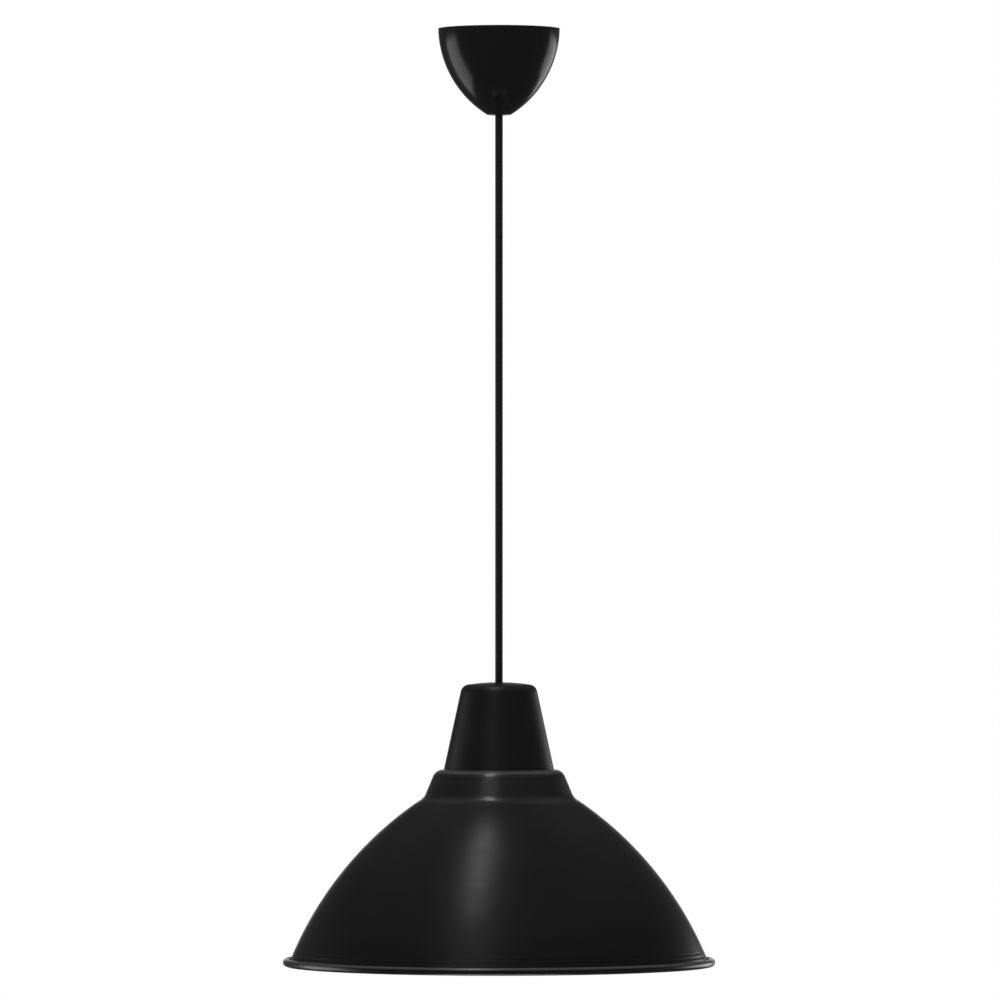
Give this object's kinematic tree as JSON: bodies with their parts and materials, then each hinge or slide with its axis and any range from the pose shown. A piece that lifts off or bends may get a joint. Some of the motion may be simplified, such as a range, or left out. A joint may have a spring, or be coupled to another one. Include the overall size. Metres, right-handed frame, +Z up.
{
  "type": "pendant ceiling light",
  "caption": "Black pendant light: bullet-shaped ceiling cup, straight cord, cone lampholder cover and spun bell shade with a stepped neck and rolled rim.",
  "frame": {"origin": "on the ceiling plane, in the middle between the bracket's two screw slots", "axes": "+Z up into the ceiling, +X along the bracket and to the right seen from the front, -Y towards the front"},
  "size_m": [0.3799, 0.38, 0.8237],
  "materials": {
    "zinc_steel": "zinc plated",
    "white_nylon": "moulded",
    "cord_sheath": "satin sheath",
    "brass": "turned",
    "brown_insulation": "satin",
    "blue_insulation": "satin",
    "grip_rubber": "matt",
    "cup_plastic": "gloss",
    "holder_plastic": "satin",
    "white_ceramic": "glazed",
    "cover_plastic": "satin",
    "shade_paint": "satin paint outside, white inside",
    "cap_metal": "nickel bright",
    "bulb_plastic": "satin",
    "opal_plastic": "opal"
  },
  "bodies": {
    "ceiling_fixing": {"ceiling_bracket": "zinc_steel", "ceiling_hook": "zinc_steel", "hook_nuts": "zinc_steel", "cord_hanger": "white_nylon", "hanger_clamp": "white_nylon", "hanger_screws": "zinc_steel", "upper_cord": "cord_sheath", "terminal_block": "white_nylon", "terminal_sleeves": "brass", "terminal_screws": "zinc_steel", "terminal_fixing_screw": "zinc_steel", "live_wire": "brown_insulation", "neutral_wire": "blue_insulation"},
    "pendant": {"pendant_cord": "cord_sheath", "lampholder_cap": "holder_plastic", "cord_collar": "white_nylon", "collar_screw": "zinc_steel", "lampholder_body": "holder_plastic", "contact_block": "white_ceramic", "holder_terminals": "brass", "holder_terminal_screws": "zinc_steel", "live_lead": "brown_insulation", "neutral_lead": "blue_insulation", "screw_shell": "brass", "centre_contact": "brass"},
    "cord_grip": {"cord_grip": "grip_rubber"},
    "ceiling_cup": {"ceiling_cup": "cup_plastic"},
    "shade": {"shade": "shade_paint"},
    "shade_ring": {"shade_ring": "holder_plastic"},
    "lampholder_cover": {"lampholder_cover": "cover_plastic"},
    "bulb_tip": {"bulb_tip": "brass"},
    "bulb": {"bulb_insulator": "holder_plastic", "bulb_cap": "cap_metal", "bulb_housing": "bulb_plastic", "led_board": "cap_metal", "bulb_globe": "opal_plastic"}
  },
  "joints": [
    {"name": "pendant_swing", "type": "hinge", "parent": "ceiling_fixing", "child": "pendant", "pos_m": [0, 0, -0.072], "axis": [0, 1, 0], "range_deg": [-20, 20]},
    {"name": "cup_slide", "type": "slide", "parent": "pendant", "child": "cord_grip", "axis": [0, 0, -1], "range_m": [0, 0.3]},
    {"name": "cup_level", "type": "hinge", "parent": "cord_grip", "child": "ceiling_cup", "pos_m": [0, 0, -0.072], "axis": [0, 1, 0], "range_deg": [-20, 20]},
    {"name": "shade_drop", "type": "slide", "parent": "pendant", "child": "shade", "axis": [0, 0, -1], "range_m": [0, 0.02]},
    {"name": "ring_turn", "type": "hinge", "parent": "shade", "child": "shade_ring", "pos_m": [0, 0, -0.656], "axis": [0, 0, -1], "range_deg": [0, 2880]},
    {"name": "cover_lift", "type": "slide", "parent": "shade", "child": "lampholder_cover", "axis": [0, 0, 1], "range_m": [0, 0.15]},
    {"name": "bulb_travel", "type": "slide", "parent": "pendant", "child": "bulb_tip", "axis": [0, 0, -1], "range_m": [0, 0.02177]},
    {"name": "bulb_turn", "type": "hinge", "parent": "bulb_tip", "child": "bulb", "pos_m": [0, 0, -0.67], "axis": [0, 0, -1], "range_deg": [0, 2160]}
  ],
  "couplings": [
    {"joint": "cup_level", "follows": "pendant_swing", "ratio": -1},
    {"joint": "ring_turn", "follows": "shade_drop", "rad_per_m": 2513.3},
    {"joint": "bulb_turn", "follows": "bulb_travel", "rad_per_m": 1731.6}
  ]
}
